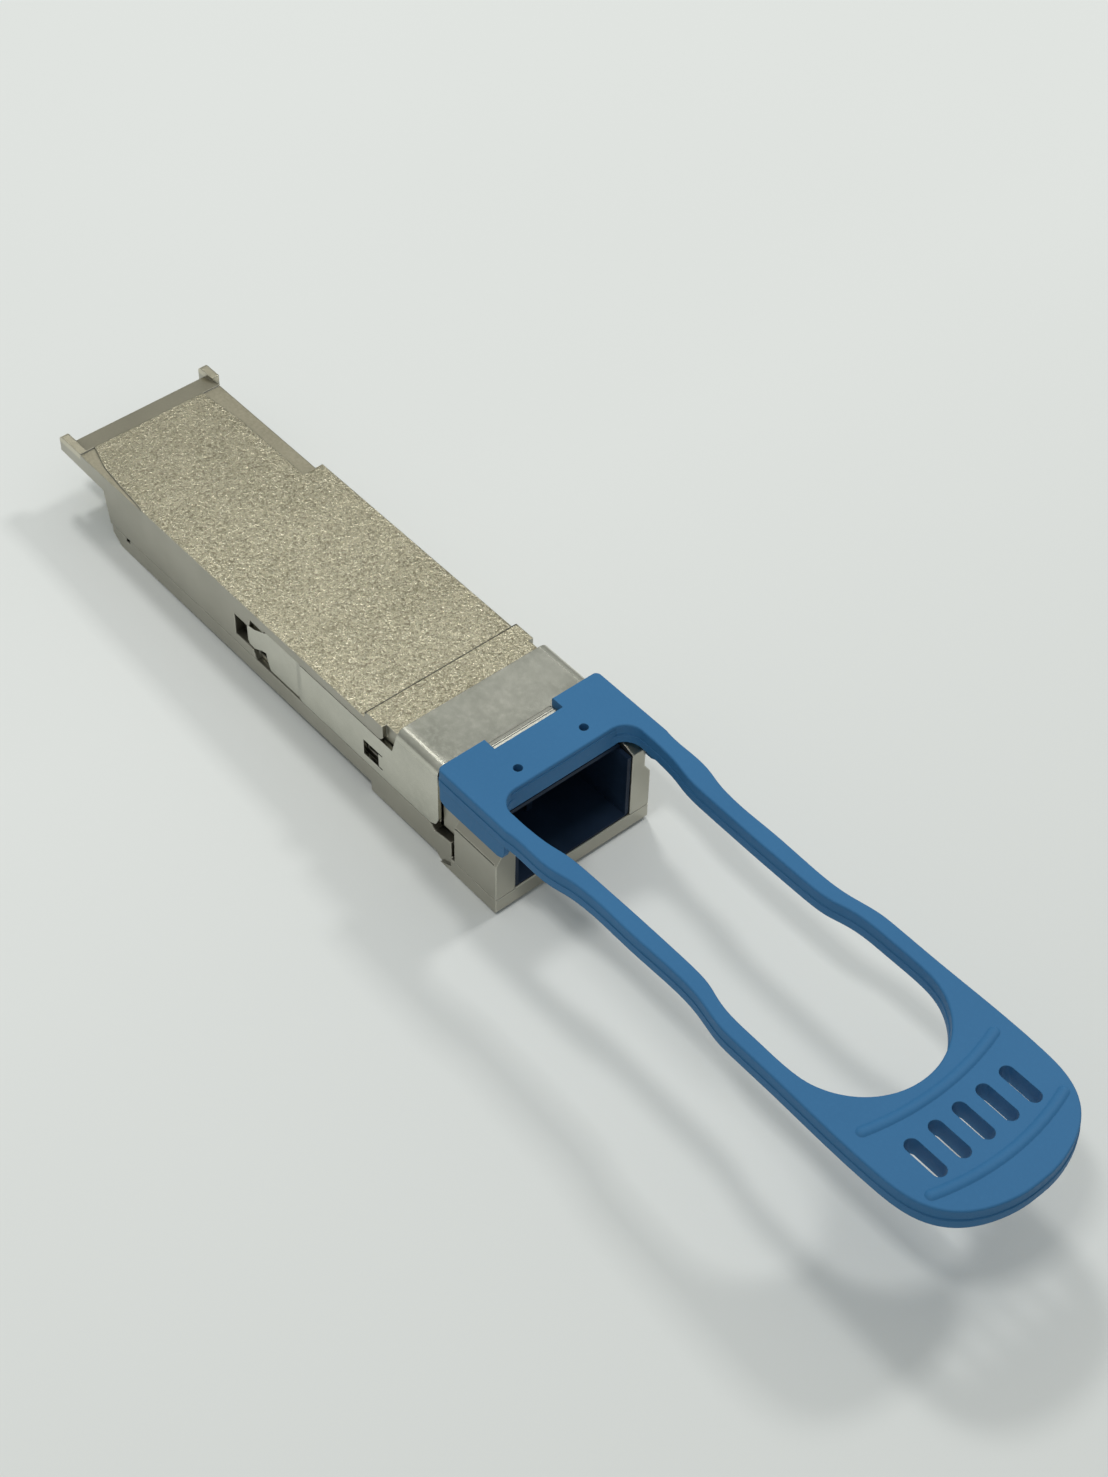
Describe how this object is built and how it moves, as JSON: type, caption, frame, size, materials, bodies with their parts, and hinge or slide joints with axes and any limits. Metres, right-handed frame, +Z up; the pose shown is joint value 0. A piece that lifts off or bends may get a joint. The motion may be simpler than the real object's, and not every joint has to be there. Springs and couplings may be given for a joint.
{
  "type": "optical transceiver module",
  "caption": "Flat metal pluggable optical transceiver with a card-edge host end, a fibre port at the nose and a sprung pull-tab latch release.",
  "frame": {"origin": "on the flat underside of the cage-fitting body, on its centre line, 41 mm behind the nose's front face", "axes": "+X from the host connector towards the pull tab, +Z up out of the heat-sink face, +Y to the left when facing along +X"},
  "size_m": [0.1283, 0.0196, 0.0136],
  "materials": {
    "cast_metal": "nickel-plated die casting, blasted top field, smooth elsewhere",
    "sheet_metal": "cold-rolled sheet, fine grain",
    "tab_polymer": "matt moulded",
    "port_plastic": "matt moulded",
    "board_laminate": "solder mask",
    "gold_plate": "hard gold plating",
    "chip_mould": "matt moulded compound",
    "ceramic_white": "ground ceramic",
    "engine_metal": "plated, brushed",
    "flex_film": "polyimide film",
    "thermal_gel": "soft matt pad",
    "gasket_rubber": "filled elastomer",
    "screw_steel": "blackened",
    "spring_steel": "drawn wire",
    "label_film": "matt film",
    "terminal_tin": "tinned terminals"
  },
  "bodies": {
    "module": {"upper_shell": "cast_metal", "lower_shell": "cast_metal", "shell_screws": "screw_steel", "seam_gaskets": "gasket_rubber", "underside_label": "label_film", "return_spring_left": "spring_steel", "return_spring_right": "spring_steel", "circuit_board": "board_laminate", "contacts_top": "gold_plate", "contacts_bottom": "gold_plate", "signal_processor": "chip_mould", "processor_thermal_pad": "thermal_gel", "laser_driver": "chip_mould", "receiver_amplifier": "chip_mould", "controller": "chip_mould", "memory_chip": "chip_mould", "power_inductors": "chip_mould", "capacitors": "terminal_tin", "port_insert": "port_plastic", "ferrule_sleeve_left": "ceramic_white", "ferrule_sleeve_right": "ceramic_white", "transmit_optics": "engine_metal", "receive_optics": "engine_metal", "transmit_flex": "flex_film", "receive_flex": "flex_film", "optics_thermal_pad": "thermal_gel"},
    "release": {"latch_slider": "sheet_metal", "pull_tab": "tab_polymer"}
  },
  "joints": [
    {"name": "release_slide", "type": "slide", "parent": "module", "child": "release", "axis": [1, 0, 0], "range_m": [0, 0.0022], "stiffness_N_per_m": 1200, "springref_m": -0.0012, "deforming": ["return_spring_left", "return_spring_right"]}
  ]
}
